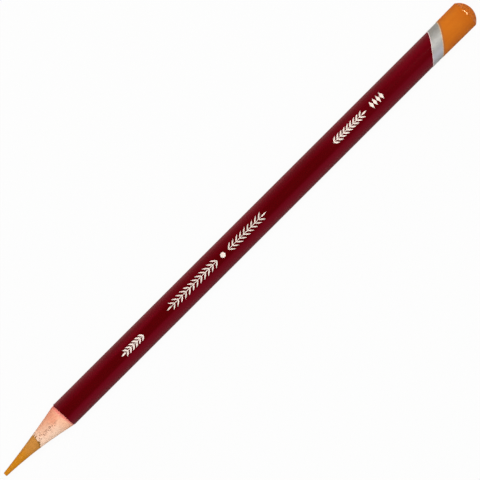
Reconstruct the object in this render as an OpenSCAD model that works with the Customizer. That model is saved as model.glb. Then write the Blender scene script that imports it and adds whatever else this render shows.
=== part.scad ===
// Round pastel pencil, sharpened.
// A soft pastel core lies glued between two grooved wood slats. The turned barrel is lacquered,
// given a slanting silver band and dipped in the core's own colour over a domed end.
// The other end is ground to a long hollow point that cuts through lacquer, wood and core alike.
//
// The pencil lies along X with its axis on the origin: the point faces -X, the dipped end +X.
// The glue line between the slats stands upright, in the XZ plane. Millimetres and degrees.

/* [Pencil] */
// Length over all, from the blunt tip to the top of the dome
pencil_length = 177; // [140:1:215]
// Diameter over the barrel lacquer
barrel_d = 7.8; // [6.5:0.1:9.5]
// Diameter of the pastel core
core_d = 4; // [3:0.1:5]

/* [Ground point] */
// Length of the point, from the blunt tip to where the grind leaves the lacquer
point_length = 22.65; // [18:0.05:28]
// Diameter of the blunt tip
tip_d = 1.15; // [0.8:0.05:1.8]
// Radius of the hollow that the grinding wheel leaves along the point
grind_radius = 170; // [130:1:400]
// Angle between the axis of the grind and the axis of the barrel
grind_lean = 0.8; // [0:0.1:1.2]
// Distance behind the tip where the two axes cross
lean_crossing = 17.5; // [12:0.5:20]

/* [Broken edges] */
// Corners in the chipped front edge of the wood
chip_count = 34; // [20:2:48]
// Deepest chip, along the pencil
chip_depth = 0.8; // [0.2:0.05:1.2]
// Corners in the torn edge of the lacquer
tear_count = 56; // [32:4:80]
// Deepest tear, along the pencil
tear_depth = 0.3; // [0.1:0.05:0.4]
// Seed of the broken edges
edge_seed = 11; // [1:1:99]

/* [Coats] */
// Thickness of the barrel lacquer
lacquer_t = 0.16; // [0.16:0.01:0.25]
// Thickness of the silver band over the lacquer
silver_t = 0.04; // [0.03:0.01:0.06]
// Thickness of the end dip at its edge, over the silver
dip_t = 0.05; // [0.03:0.01:0.08]
// Thickness of the bead that the dip gathers at the rim, over the lacquer
bead_t = 0.175; // [0.15:0.005:0.25]
// Thickness of the end dip over the dome
dome_t = 0.12; // [0.08:0.01:0.15]

/* [Dipped end] */
// Height of the dome above the rim
dome_h = 2.3; // [1.2:0.1:2.8]
// Rounding of the painted rim
rim_rounding = 0.4; // [0.2:0.05:0.6]
// Distance along the axis from the top of the dome to the dip's edge
dip_reach = 12.1; // [9:0.1:16]
// Width of the silver band along the pencil
band_w = 4.1; // [2:0.1:6]
// Stretch of the silver band that lies hidden under the dip
band_lap = 1.5; // [0.5:0.1:2.5]
// Slant of the dip lines, from square to the barrel
dip_slant = 35.2; // [0:0.1:40]
// Turn of the slant about the barrel, from the -Y side
dip_turn = 17; // [-90:1:90]

/* [Hidden] */

turned_fn = 96;
// The wheel's circle is so large that it needs more sides for the same smoothness
wheel_fn = 1440;

core_r = core_d / 2;
barrel_r = barrel_d / 2;
wood_r = barrel_r - lacquer_t;
silver_r = barrel_r + silver_t;
dip_edge_r = silver_r + dip_t;
rim_r = barrel_r + bead_t;
tip_r = tip_d / 2;

tip_x = -pencil_length / 2;
dome_top_x = pencil_length / 2;

// Room that every cutting body keeps beyond what it cuts
spare = 2;
cutter_r = barrel_d;

// The hollow of the point is an arc through the tip's corner and the shoulder
shoulder = [barrel_r, point_length];
tip_corner = [tip_r, 0];
arc_chord = shoulder - tip_corner;
arc_middle = (shoulder + tip_corner) / 2;
arc_rise = sqrt(pow(grind_radius, 2) - pow(norm(arc_chord) / 2, 2));
arc_centre = arc_middle + [arc_chord[1], -arc_chord[0]] / norm(arc_chord) * arc_rise;

// Distance behind the tip at which the grind reaches a radius, and its slope there
function grind_at(r) = arc_centre[1] + sqrt(pow(grind_radius, 2) - pow(arc_centre[0] - r, 2));
function grind_slope(r) = (grind_at(r) - arc_centre[1]) / (arc_centre[0] - r);

// How far the lean of the grind moves its edge along the pencil, on the +Y side, at a radius
function lean_swing(r) = (lean_crossing - grind_at(r)) * tan(grind_lean) / grind_slope(r);

// The dome is a sphere through the rim and the top
dome_r = (pow(dome_h, 2) + pow(rim_r, 2)) / (2 * dome_h);
dome_centre_x = dome_top_x - dome_r;
blank_dome_r = dome_r - dome_t;

// Centre of the small circle that rounds the rim into the dome
rounding_r = rim_r - rim_rounding;
rounding_x = dome_centre_x + sqrt(pow(dome_r - rim_rounding, 2) - pow(rounding_r, 2));

// Where the two slanting edges cross the axis, and the foremost point of the dip
dip_edge_x = dome_top_x - dip_reach;
band_edge_x = dip_edge_x - band_w;
dip_front_x = dip_edge_x - tan(dip_slant) * rim_r;

// The lacquer is torn back to where the grind has left this share of its thickness
tear_share = 0.35;
tear_r = wood_r + lacquer_t * tear_share;
// Share of the deepest bite that every corner of a broken edge loses
least_bite = 0.12;

// Turns a profile of [radius, place along X] about the pencil's axis
module turned() {
    rotate([0, 90, 0])
        rotate_extrude($fn = turned_fn)
            children();
}

// The blank at a radius: a rod whose far end is domed, with spare length at the point
module blank(r) {
    turned()
        intersection() {
            translate([0, tip_x - spare])
                square([r, pencil_length + spare]);
            union() {
                translate([0, tip_x - spare])
                    square([barrel_d, dome_centre_x - tip_x + spare]);
                translate([0, dome_centre_x])
                    circle(r = blank_dome_r, $fn = turned_fn);
            }
        }
}

// The round hole that a coat or a pair of slats leaves for what it encloses
module bore(r) {
    turned()
        translate([0, -pencil_length])
            square([r, 2 * pencil_length]);
}

// Everything that the grinding wheel takes off, and what is broken from the tip
module ground_away() {
    translate([tip_x + lean_crossing, 0, 0])
        rotate([0, 0, grind_lean])
            translate([-lean_crossing, 0, 0])
                turned() {
                    intersection() {
                        translate(arc_centre)
                            circle(r = grind_radius, $fn = wheel_fn);
                        square([cutter_r, point_length + spare]);
                    }
                    translate([0, -2 * spare])
                        square([cutter_r, 2 * spare]);
                }
}

// A ring-shaped cutter that bites an edge back to a ragged line round the pencil.
// The line stands at_r out from the axis, follows the leaning grind and is never bitten deeper than depth.
module ragged_edge(at_r, count, depth, seed) {
    bites = rands(depth * least_bite, depth, count, seed);
    line = [
        for (i = [0 : count - 1])
            tip_x + grind_at(at_r) + lean_swing(at_r) * cos(i * 360 / count) + bites[i]
    ];
    start = [for (i = [0 : count - 1]) tip_x + grind_at(at_r) - spare];
    function ring(r, xs) = [
        for (i = [0 : count - 1])
            [xs[i], r * cos(i * 360 / count), r * sin(i * 360 / count)]
    ];
    // Four rings of corners: inside and outside at the start, then outside and inside at the ragged line
    points = concat(
        ring(at_r - spare / 2, start),
        ring(at_r + spare / 2, start),
        ring(at_r + spare / 2, line),
        ring(at_r - spare / 2, line)
    );
    faces = [
        for (k = [0 : 3], i = [0 : count - 1], half = [0, 1])
            let (
                here = k * count,
                next = (k + 1) % 4 * count,
                j = (i + 1) % count
            )
            half == 0 ? [here + i, next + j, here + j] : [here + i, next + i, next + j]
    ];
    polyhedron(points, faces);
}

// Sets a child square to the slanting dip line that crosses the axis at x
module at_dip_line(x) {
    translate([x, 0, 0])
        rotate([180 + dip_turn, 0, 0])
            rotate([0, 0, dip_slant])
                children();
}

// All that lies on the dome's side of a dip line
module beyond_line(x) {
    at_dip_line(x)
        translate([0, -pencil_length / 2, -pencil_length / 2])
            cube(pencil_length);
}

// All that lies on the point's side of a dip line
module before_line(x) {
    at_dip_line(x)
        translate([-pencil_length, -pencil_length / 2, -pencil_length / 2])
            cube(pencil_length);
}

module pastel_core() {
    color("#CE9230")
        difference() {
            blank(core_r);
            ground_away();
        }
}

// One slat, grooved for half of the core; side is 1 for the +Y slat and -1 for the -Y slat
module wood_slat(side) {
    color(side > 0 ? "#EFB18C" : "#F0CDA8")
        difference() {
            intersection() {
                blank(wood_r);
                translate([-pencil_length, side > 0 ? 0 : -cutter_r, -cutter_r])
                    cube([2 * pencil_length, cutter_r, 2 * cutter_r]);
            }
            bore(core_r);
            ground_away();
            ragged_edge(core_r, chip_count, chip_depth, edge_seed);
        }
}

module barrel_lacquer() {
    color("#5E0610")
        difference() {
            blank(barrel_r);
            bore(wood_r);
            ground_away();
            ragged_edge(tear_r, tear_count, tear_depth, edge_seed + 1);
        }
}

module silver_band() {
    color("#B4B4AE")
        difference() {
            turned()
                translate([barrel_r, band_edge_x - barrel_d])
                    square([silver_t, dome_centre_x - band_edge_x + barrel_d]);
            beyond_line(dip_edge_x + band_lap);
            before_line(band_edge_x);
        }
}

// The painted outside of the dipped end: a slight taper up to the bead, a rounded rim and the dome
module dip_outside() {
    turned() {
        polygon([
            [0, dip_front_x],
            [dip_edge_r, dip_front_x],
            [rim_r, rounding_x],
            [rounding_r, rounding_x],
            [0, dome_centre_x]
        ]);
        translate([rounding_r, rounding_x])
            intersection() {
                circle(r = rim_rounding, $fn = turned_fn);
                square(rim_rounding);
            }
        intersection() {
            translate([0, dome_centre_x])
                circle(r = dome_r, $fn = turned_fn);
            polygon([
                [0, dome_centre_x],
                [rounding_r, rounding_x] * 2 - [0, dome_centre_x],
                [0, dome_top_x + dome_r]
            ]);
        }
    }
}

module end_dip() {
    color("#CC6C1A")
        difference() {
            intersection() {
                dip_outside();
                beyond_line(dip_edge_x);
            }
            blank(barrel_r);
            silver_band();
        }
}

pastel_core();
wood_slat(1);  // wood_slat_left
wood_slat(-1);  // wood_slat_right
barrel_lacquer();
silver_band();
end_dip();
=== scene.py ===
"""Looks of a sharpened round pastel pencil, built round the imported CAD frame.

The pencil lies along X with its point at -X. Sizes in this file are millimetres and degrees, but
the floor and lamps are metres; meshes are made in metres, in the frame's own place.
"""

import logging
import math
from dataclasses import dataclass, field
from enum import Enum
from typing import Callable, Mapping, Sequence

import bmesh
import bpy
import numpy as np
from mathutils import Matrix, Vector


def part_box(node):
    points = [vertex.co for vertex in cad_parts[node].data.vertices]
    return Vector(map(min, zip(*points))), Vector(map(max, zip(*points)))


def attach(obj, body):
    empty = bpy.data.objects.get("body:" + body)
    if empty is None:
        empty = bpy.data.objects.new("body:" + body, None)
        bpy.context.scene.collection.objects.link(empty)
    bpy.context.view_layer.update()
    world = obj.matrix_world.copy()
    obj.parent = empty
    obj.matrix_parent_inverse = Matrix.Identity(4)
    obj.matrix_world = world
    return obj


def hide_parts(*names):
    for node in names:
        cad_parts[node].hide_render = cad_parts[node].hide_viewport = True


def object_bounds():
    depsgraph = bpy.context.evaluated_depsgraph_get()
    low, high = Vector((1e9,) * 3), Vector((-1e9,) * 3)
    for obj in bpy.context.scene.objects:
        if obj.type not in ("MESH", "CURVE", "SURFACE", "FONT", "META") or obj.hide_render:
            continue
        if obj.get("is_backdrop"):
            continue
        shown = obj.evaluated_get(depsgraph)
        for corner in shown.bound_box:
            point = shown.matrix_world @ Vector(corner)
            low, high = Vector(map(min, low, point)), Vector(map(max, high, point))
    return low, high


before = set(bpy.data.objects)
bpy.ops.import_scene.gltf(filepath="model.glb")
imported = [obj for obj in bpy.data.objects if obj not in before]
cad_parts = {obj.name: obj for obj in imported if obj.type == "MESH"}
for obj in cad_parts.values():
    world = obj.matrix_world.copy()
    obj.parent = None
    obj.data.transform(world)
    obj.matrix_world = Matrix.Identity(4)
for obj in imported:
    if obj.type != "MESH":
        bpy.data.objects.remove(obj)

LOG = logging.getLogger("pastel_pencil")
MM = 0.001
COLUMNS = 720
SHARP_ANGLE = math.radians(28)
# Corners nearer than this are one, and shorter edges than a tenth of it are nothing
WELD_GAP = 0.0002 * MM
FULL_TURN = 2 * math.pi

Colour = tuple[float, float, float, float]


class Node(Enum):
    """The CAD nodes that the looks stand for."""

    CORE = "pastel_core"
    SLAT_LEFT = "wood_slat_left"
    SLAT_RIGHT = "wood_slat_right"
    LACQUER = "barrel_lacquer"
    BAND = "silver_band"
    DIP = "end_dip"


class Slot(Enum):
    """The record's material slots."""

    PASTEL = "pastel"
    WOOD = "wood"
    LACQUER = "lacquer"
    SILVER = "silver_paint"
    DIP = "dip_paint"


class StampShape(Enum):
    """The outline power of a stamped petal: straight-sided or bowed."""

    LOZENGE = 1.0
    LEAF = 1.9


def colour(hex_code: str) -> Colour:
    """Turns a paint colour into linear light.

    Args:
        hex_code: the colour as #RRGGBB.

    Returns:
        Red, green, blue and a full alpha.
    """
    shares = [int(hex_code[i : i + 2], 16) / 255 for i in (1, 3, 5)]
    linear = [s / 12.92 if s <= 0.04045 else ((s + 0.055) / 1.055) ** 2.4 for s in shares]
    return (linear[0], linear[1], linear[2], 1.0)


def placed(name: str, data: bpy.types.ID) -> bpy.types.Object:
    """Puts a mesh, lamp or camera in the scene, at the origin."""
    holder = bpy.data.objects.new(name, data)
    bpy.context.scene.collection.objects.link(holder)
    return holder


# ---------------------------------------------------------------- node trees


class Wire:
    """One output in a node tree. Arithmetic on it adds Math nodes."""

    def __init__(self, nodes: "Nodes", socket: bpy.types.NodeSocket | None) -> None:
        """Holds a socket and the builder of its tree."""
        self.nodes = nodes
        self.socket = socket

    def math(self, operation: str, *values: "Wire | float") -> "Wire":
        """Adds one Math node.

        Args:
            operation: the Math node's operation.
            values: what goes into its inputs, in order.

        Returns:
            The node's result.
        """
        inputs = dict(enumerate(values))
        return self.nodes.add("ShaderNodeMath", {"operation": operation}, inputs)

    def __add__(self, other: "Wire | float") -> "Wire":
        """Sum."""
        return self.math("ADD", self, other)

    def __radd__(self, other: float) -> "Wire":
        """Sum, reflected."""
        return self.math("ADD", other, self)

    def __sub__(self, other: "Wire | float") -> "Wire":
        """Difference."""
        return self.math("SUBTRACT", self, other)

    def __rsub__(self, other: float) -> "Wire":
        """Difference, reflected."""
        return self.math("SUBTRACT", other, self)

    def __mul__(self, other: "Wire | float") -> "Wire":
        """Product."""
        return self.math("MULTIPLY", self, other)

    def __rmul__(self, other: float) -> "Wire":
        """Product, reflected."""
        return self.math("MULTIPLY", other, self)

    def __truediv__(self, other: "Wire | float") -> "Wire":
        """Quotient."""
        return self.math("DIVIDE", self, other)

    def __rtruediv__(self, other: float) -> "Wire":
        """Quotient, reflected."""
        return self.math("DIVIDE", other, self)

    def __mod__(self, other: "Wire | float") -> "Wire":
        """Remainder, never negative."""
        return self.math("FLOORED_MODULO", self, other)

    def __pow__(self, other: "Wire | float") -> "Wire":
        """Power."""
        return self.math("POWER", self, other)

    def __abs__(self) -> "Wire":
        """Size without its sign."""
        return self.math("ABSOLUTE", self)

    def floor(self) -> "Wire":
        """Whole part."""
        return self.math("FLOOR", self)

    def sin(self) -> "Wire":
        """Sine."""
        return self.math("SINE", self)

    def cos(self) -> "Wire":
        """Cosine."""
        return self.math("COSINE", self)

    def most(self, other: "Wire | float") -> "Wire":
        """The larger of two."""
        return self.math("MAXIMUM", self, other)

    def ease(self, low: float, high: float) -> "Wire":
        """Rises smoothly from 0 at low to 1 at high, or falls where high is less.

        Args:
            low: the value that gives 0.
            high: the value that gives 1.

        Returns:
            The share from 0 to 1.
        """
        if high < low:
            return 1.0 - self.ease(high, low)
        settings = {"interpolation_type": "SMOOTHSTEP", "clamp": True}
        inputs = {"Value": self, "From Min": low, "From Max": high}
        return self.nodes.add("ShaderNodeMapRange", settings, inputs)

    def within(self, start: float, full: float, fade: float, end: float) -> "Wire":
        """Rises from 0 at start to 1 at full, and falls back to 0 from fade to end."""
        return self.ease(start, full) * self.ease(end, fade)

    def other(self, name: str) -> "Wire":
        """Another output of the same node."""
        return Wire(self.nodes, pick(self.socket.node.outputs, name))


def pick(sockets: Sequence[bpy.types.NodeSocket], key: str | int) -> bpy.types.NodeSocket:
    """Finds a socket by its place, or by its name among those in use.

    Args:
        sockets: a node's inputs or outputs.
        key: the place or the name.

    Returns:
        The socket.
    """
    if isinstance(key, int):
        return sockets[key]
    for socket in sockets:
        if socket.enabled and socket.name == key:
            return socket
    raise KeyError(f"no socket {key} among {[s.name for s in sockets]}")


class Nodes:
    """Adds nodes to one tree and links them."""

    def __init__(self, tree: bpy.types.NodeTree) -> None:
        """Holds an empty tree."""
        self.tree = tree

    def add(
        self,
        kind: str,
        settings: Mapping[str, object] | None = None,
        inputs: Mapping[str | int, object] | None = None,
        output: str | None = None,
    ) -> Wire:
        """Adds a node, sets it and feeds it.

        Args:
            kind: the node's type.
            settings: its own properties, which are set first.
            inputs: values or wires for its inputs, by name or place.
            output: the output that is returned; the first one in use unless it is named.

        Returns:
            That output, or an empty wire from a node that has none.
        """
        node = self.tree.nodes.new(kind)
        for name, value in (settings or {}).items():
            setattr(node, name, value)
        for key, value in (inputs or {}).items():
            self.feed(pick(node.inputs, key), value)
        if output:
            return Wire(self, pick(node.outputs, output))
        return Wire(self, next((s for s in node.outputs if s.enabled), None))

    def feed(self, socket: bpy.types.NodeSocket, value: object) -> None:
        """Links a wire to an input, or sets the input's own value."""
        if isinstance(value, Wire):
            self.tree.links.new(value.socket, socket)
        else:
            socket.default_value = value

    def vector(self, x: Wire | float, y: Wire | float, z: Wire | float) -> Wire:
        """Joins three values into a vector."""
        return self.add("ShaderNodeCombineXYZ", inputs={"X": x, "Y": y, "Z": z})

    def split(self, vector: Wire) -> tuple[Wire, Wire, Wire]:
        """Takes a vector apart."""
        x = self.add("ShaderNodeSeparateXYZ", inputs={"Vector": vector}, output="X")
        return x, x.other("Y"), x.other("Z")


class FinishNodes(Nodes):
    """A material's tree, with the patterns that the finishes share. They work in millimetres."""

    def __init__(self, name: str) -> None:
        """Starts an empty material.

        Args:
            name: the material's name.
        """
        self.material = bpy.data.materials.new(name)
        self.material.use_nodes = True
        self.material.node_tree.nodes.clear()
        super().__init__(self.material.node_tree)
        place = self.add("ShaderNodeTexCoord", output="Object")
        settings = {"operation": "SCALE"}
        self.place = self.add("ShaderNodeVectorMath", settings, {"Vector": place, "Scale": 1 / MM})
        self.along, self.across, self.up = self.split(self.place)

    def stretched(self, along: float, across: float, turn: float = 0.0) -> Wire:
        """Millimetre coordinates pulled out along the pencil.

        Args:
            along: scale along X.
            across: scale along Y and Z.
            turn: degrees that the pattern is turned about Z first.

        Returns:
            The coordinates.
        """
        inputs = {
            "Vector": self.place,
            "Rotation": (0.0, 0.0, math.radians(turn)),
            "Scale": (along, across, across),
        }
        return self.add("ShaderNodeMapping", {"vector_type": "POINT"}, inputs)

    def noise(
        self,
        where: Wire,
        scale: float = 1.0,
        detail: float = 2.0,
        roughness: float = 0.5,
        warp: float = 0.0,
    ) -> Wire:
        """Soft noise from 0 to 1.

        Args:
            where: the coordinates.
            scale: about how many lumps fill one unit of them.
            detail: how many finer layers lie on the lumps.
            roughness: how strong the finer layers are.
            warp: how far the lumps are drawn out of shape.

        Returns:
            The noise.
        """
        inputs = {
            "Vector": where,
            "Scale": scale,
            "Detail": detail,
            "Roughness": roughness,
            "Distortion": warp,
        }
        return self.add("ShaderNodeTexNoise", inputs=inputs, output="Fac")

    def cells(self, where: Wire, scale: float = 1.0) -> Wire:
        """Distance to the nearest of scattered points, about scale of them to the unit."""
        inputs = {"Vector": where, "Scale": scale, "Randomness": 1.0}
        return self.add("ShaderNodeTexVoronoi", inputs=inputs, output="Distance")

    def mark(self, name: str) -> Wire:
        """A number that the mesh carries at each corner."""
        settings = {"attribute_type": "GEOMETRY", "attribute_name": name}
        return self.add("ShaderNodeAttribute", settings, output="Fac")

    def beyond_line(self, sizes: "Sizes", line_x: float) -> Wire:
        """How far a place lies beyond the slanting line that crosses the axis at line_x."""
        turn = math.radians(sizes.dip_turn)
        slanted = (self.across * math.cos(turn) + self.up * math.sin(turn)) * sizes.slant
        return self.along - slanted - line_x

    def paint(self, base: str, *coats: tuple[Wire, str]) -> Wire:
        """Lays colours one over the other.

        Args:
            base: the colour underneath.
            coats: each coat's share, from 0 to 1, and its colour.

        Returns:
            The shade on top.
        """
        settings = {"data_type": "RGBA", "clamp_factor": True}
        shade: Wire | Colour = colour(base)
        for share, hex_code in coats:
            inputs = {"Factor": share, "A": shade, "B": colour(hex_code)}
            shade = self.add("ShaderNodeMix", settings, inputs, "Result")
        return shade

    def bump(self, height: Wire, depth: float, under: Wire | None = None) -> Wire:
        """A normal that shows a height.

        Args:
            height: from 0 to 1.
            depth: how many millimetres 1 stands above 0.
            under: a normal to add to.

        Returns:
            The normal.
        """
        inputs: dict[str | int, object] = {
            "Height": height,
            "Distance": depth * MM,
            "Strength": 1.0,
        }
        if under is not None:
            inputs["Normal"] = under
        return self.add("ShaderNodeBump", inputs=inputs)

    def surface(self, **sockets: object) -> bpy.types.Material:
        """Ends the tree in a Principled surface.

        Args:
            sockets: its inputs, with _ for the spaces in their names.

        Returns:
            The finished material.
        """
        inputs = {name.replace("_", " "): value for name, value in sockets.items()}
        shader = self.add("ShaderNodeBsdfPrincipled", inputs=inputs)
        self.add("ShaderNodeOutputMaterial", inputs={"Surface": shader})
        return self.material


class ShapeNodes(Nodes):
    """A Geometry Nodes tree with named inputs, which ends in Realize Instances and Set Material."""

    def __init__(self, name: str) -> None:
        """Starts a tree that takes a geometry and gives one back."""
        super().__init__(bpy.data.node_groups.new(name, "GeometryNodeTree"))
        face = self.tree.interface
        face.new_socket(name="Geometry", in_out="INPUT", socket_type="NodeSocketGeometry")
        face.new_socket(name="Geometry", in_out="OUTPUT", socket_type="NodeSocketGeometry")
        self.keys: dict[str, str] = {}
        self.base = self.add("NodeGroupInput", output="Geometry")
        self.finish = self.entry("Finish", "NodeSocketMaterial")

    def entry(self, name: str, kind: str = "NodeSocketFloat") -> Wire:
        """Adds a named input.

        Args:
            name: what it is called.
            kind: the type of its socket.

        Returns:
            The wire that carries it.
        """
        item = self.tree.interface.new_socket(name=name, in_out="INPUT", socket_type=kind)
        self.keys[name] = item.identifier
        return Wire(self, pick(self.base.socket.node.outputs, name))

    def entries(self, *names: str) -> list[Wire]:
        """Adds a named number for each name."""
        return [self.entry(name) for name in names]

    def close(self, shape: Wire) -> None:
        """Realizes the instances, sets the finish and ends the tree."""
        real = self.add("GeometryNodeRealizeInstances", inputs={"Geometry": shape})
        inputs = {"Geometry": real, "Material": self.finish}
        made = self.add("GeometryNodeSetMaterial", inputs=inputs)
        self.add("NodeGroupOutput", inputs={"Geometry": made})

    def joined(self, *shapes: Wire) -> Wire:
        """Joins several shapes into one."""
        node = self.tree.nodes.new("GeometryNodeJoinGeometry")
        for shape in shapes:
            self.tree.links.new(shape.socket, node.inputs["Geometry"])
        return Wire(self, node.outputs["Geometry"])

    def moved(self, shape: Wire, place: Wire) -> Wire:
        """Puts every corner at a new place."""
        return self.add("GeometryNodeSetPosition", inputs={"Geometry": shape, "Position": place})

    def grow(
        self, name: str, base: bpy.types.Mesh, values: Mapping[str, object]
    ) -> bpy.types.Object:
        """Runs the tree on a mesh and keeps the result as a plain, closed mesh.

        Args:
            name: the new object's name.
            base: the mesh that the tree starts from.
            values: what goes into the named inputs.

        Returns:
            An object with no modifier.
        """
        piece = placed(name, base)
        modifier = piece.modifiers.new(name, "NODES")
        modifier.node_group = self.tree
        for key, value in values.items():
            modifier[self.keys[key]] = value
        graph = bpy.context.evaluated_depsgraph_get()
        made = bpy.data.meshes.new_from_object(piece.evaluated_get(graph), depsgraph=graph)
        piece.modifiers.remove(modifier)
        piece.data = made
        bpy.data.meshes.remove(base)
        made.name = name
        close_up(made)
        return piece


# ---------------------------------------------------------------- meshes


def enclosed_volume(mesh: bpy.types.Mesh) -> float:
    """The volume that a closed mesh holds, negative where its faces point inwards."""
    mesh.calc_loop_triangles()
    corners = np.empty(len(mesh.vertices) * 3)
    mesh.vertices.foreach_get("co", corners)
    corners = corners.reshape(-1, 3)
    picks = np.empty(len(mesh.loop_triangles) * 3, int)
    mesh.loop_triangles.foreach_get("vertices", picks)
    a, b, c = (corners[picks[i::3]] for i in range(3))
    return float(np.einsum("ij,ij->i", a, np.cross(b, c)).sum() / 6)


def close_up(mesh: bpy.types.Mesh) -> None:
    """Merges corners that meet, turns the faces outwards and smooths all but the sharp edges."""
    work = bmesh.new()
    work.from_mesh(mesh)
    bmesh.ops.remove_doubles(work, verts=work.verts, dist=WELD_GAP)
    bmesh.ops.dissolve_degenerate(work, edges=work.edges, dist=WELD_GAP / 10)
    work.to_mesh(mesh)
    work.free()
    if enclosed_volume(mesh) < 0:
        mesh.flip_normals()
    mesh.polygons.foreach_set("use_smooth", [True] * len(mesh.polygons))
    mesh.set_sharp_from_angle(angle=SHARP_ANGLE)
    mesh.update()


def ripple(
    along: np.ndarray, turns: np.ndarray, seed: int, finest: int, waves: int = 14
) -> np.ndarray:
    """An uneven height that closes on itself round the pencil.

    Args:
        along: places along the pencil.
        turns: places round it, in radians.
        seed: which unevenness.
        finest: one more than the most crests that a wave has in a turn.
        waves: how many waves make it up.

    Returns:
        Heights from about -1 to 1.
    """
    dice = np.random.default_rng(seed)
    total = np.zeros(np.broadcast(along, turns).shape)
    for _ in range(waves):
        crests = int(dice.integers(1, finest))
        drift, phase = dice.uniform(-5, 5), dice.uniform(0, FULL_TURN)
        total = total + np.cos(crests * turns + drift * along + phase)
    # About as much as so many waves reach together
    return total / 6.0


@dataclass
class Skin:
    """Rings of corners round the pencil, joined in order into one closed mesh."""

    name: str
    whole_turn: bool = True
    loops_back: bool = False
    bow: Callable[[np.ndarray], np.ndarray] | None = None
    rings: list[np.ndarray] = field(default_factory=list)
    marks: dict[str, list[np.ndarray]] = field(default_factory=dict)

    def ring(self, x: object, y: object, z: object, **marks: object) -> None:
        """Adds a ring.

        Args:
            x: places along the pencil, one for each column, or one for all.
            y: places across it.
            z: places upwards.
            marks: numbers that the corners carry.
        """
        shape = np.broadcast(x, y, z).shape
        parts = [np.broadcast_to(np.asarray(v, float), shape) for v in (x, y, z)]
        self.rings.append(np.stack(parts, -1))
        for name, value in marks.items():
            spread = np.broadcast_to(np.asarray(value, float), shape)
            self.marks.setdefault(name, []).append(spread)

    def round_ring(self, x: object, r: object, turns: np.ndarray, **marks: object) -> None:
        """Adds a ring given by its places along X and its distances from the axis."""
        self.ring(x, r * np.cos(turns), r * np.sin(turns), **marks)

    def build(self, finish: bpy.types.Material) -> bpy.types.Object:
        """Makes the object.

        Args:
            finish: its material.

        Returns:
            The object, at the origin.
        """
        rows, columns = len(self.rings), len(self.rings[0])
        grid = np.arange(rows * columns).reshape(rows, columns)
        if self.whole_turn:
            grid = np.concatenate([grid, grid[:, :1]], 1)
        if self.loops_back:
            grid = np.concatenate([grid, grid[:1]], 0)
        quads = np.stack([grid[:-1, :-1], grid[:-1, 1:], grid[1:, 1:], grid[1:, :-1]], -1)
        faces = quads.reshape(-1, 4).tolist()
        if not self.whole_turn:
            faces += [grid[:rows, 0].tolist(), grid[:rows, -1][::-1].tolist()]
        corners = np.concatenate(self.rings)
        if self.bow:
            corners[:, 1] += self.bow(corners[:, 0])
        mesh = bpy.data.meshes.new(self.name)
        mesh.from_pydata((corners * MM).tolist(), [], faces)
        for name, values in self.marks.items():
            mark = mesh.attributes.new(name, "FLOAT", "POINT")
            mark.data.foreach_set("value", np.concatenate(values))
        close_up(mesh)
        mesh.materials.append(finish)
        return placed(self.name, mesh)


def settle(piece: bpy.types.Object, slot: Slot, *stands_for: Node) -> bpy.types.Object:
    """Hands a finished piece to the frame and reports it.

    Args:
        piece: the piece.
        slot: the record's slot that its finish comes from. Not used.
        stands_for: the CAD nodes that it takes the place of.

    Returns:
        The same piece.
    """
    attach(piece, "root")
    if stands_for:
        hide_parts(*(n.value for n in stands_for))
    piece.data.calc_loop_triangles()
    LOG.info("%s: %d triangles", piece.name, len(piece.data.loop_triangles))
    return piece


# ---------------------------------------------------------------- the pencil's shape


@dataclass(frozen=True)
class Sizes:
    """Sizes that the pieces share, as the CAD source has them, and the silver band's sag."""

    top_x: float
    core_r: float = 2.0
    barrel_r: float = 3.9
    lacquer_t: float = 0.16
    silver_t: float = 0.04
    dip_t: float = 0.05
    bead_t: float = 0.175
    dome_t: float = 0.12
    dome_h: float = 2.3
    rim_rounding: float = 0.4
    dip_reach: float = 12.1
    band_w: float = 4.1
    band_lap: float = 1.5
    dip_slant: float = 35.2
    dip_turn: float = 17.0
    band_sag: float = 0.2
    band_sag_turn: float = 22.0

    @property
    def tip_x(self) -> float:
        """Where the blunt tip stands."""
        return -self.top_x

    @property
    def wood_r(self) -> float:
        """Radius of the turned wood."""
        return self.barrel_r - self.lacquer_t

    @property
    def silver_r(self) -> float:
        """Radius of the silver band."""
        return self.barrel_r + self.silver_t

    @property
    def rim_r(self) -> float:
        """Radius of the bead at the rim."""
        return self.barrel_r + self.bead_t

    @property
    def dome_r(self) -> float:
        """Radius of the painted dome."""
        return (self.dome_h**2 + self.rim_r**2) / (2 * self.dome_h)

    @property
    def dome_centre(self) -> float:
        """Where the dome's centre stands."""
        return self.top_x - self.dome_r

    @property
    def rounding_x(self) -> float:
        """Where the straight rim ends and its rounding starts."""
        inner = self.dome_r - self.rim_rounding
        return self.dome_centre + math.sqrt(inner**2 - (self.rim_r - self.rim_rounding) ** 2)

    @property
    def dip_edge(self) -> float:
        """Where the dip's edge crosses the axis."""
        return self.top_x - self.dip_reach

    @property
    def band_edge(self) -> float:
        """Where the silver band's edge crosses the axis."""
        return self.dip_edge - self.band_w

    @property
    def slant(self) -> float:
        """How far the slanting edges move along the pencil for a millimetre across it."""
        return math.tan(math.radians(self.dip_slant))

    def blank_dome_x(self, r: float) -> float:
        """Where the unpainted dome stands at a distance from the axis."""
        return self.dome_centre + math.sqrt((self.dome_r - self.dome_t) ** 2 - r**2)


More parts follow.
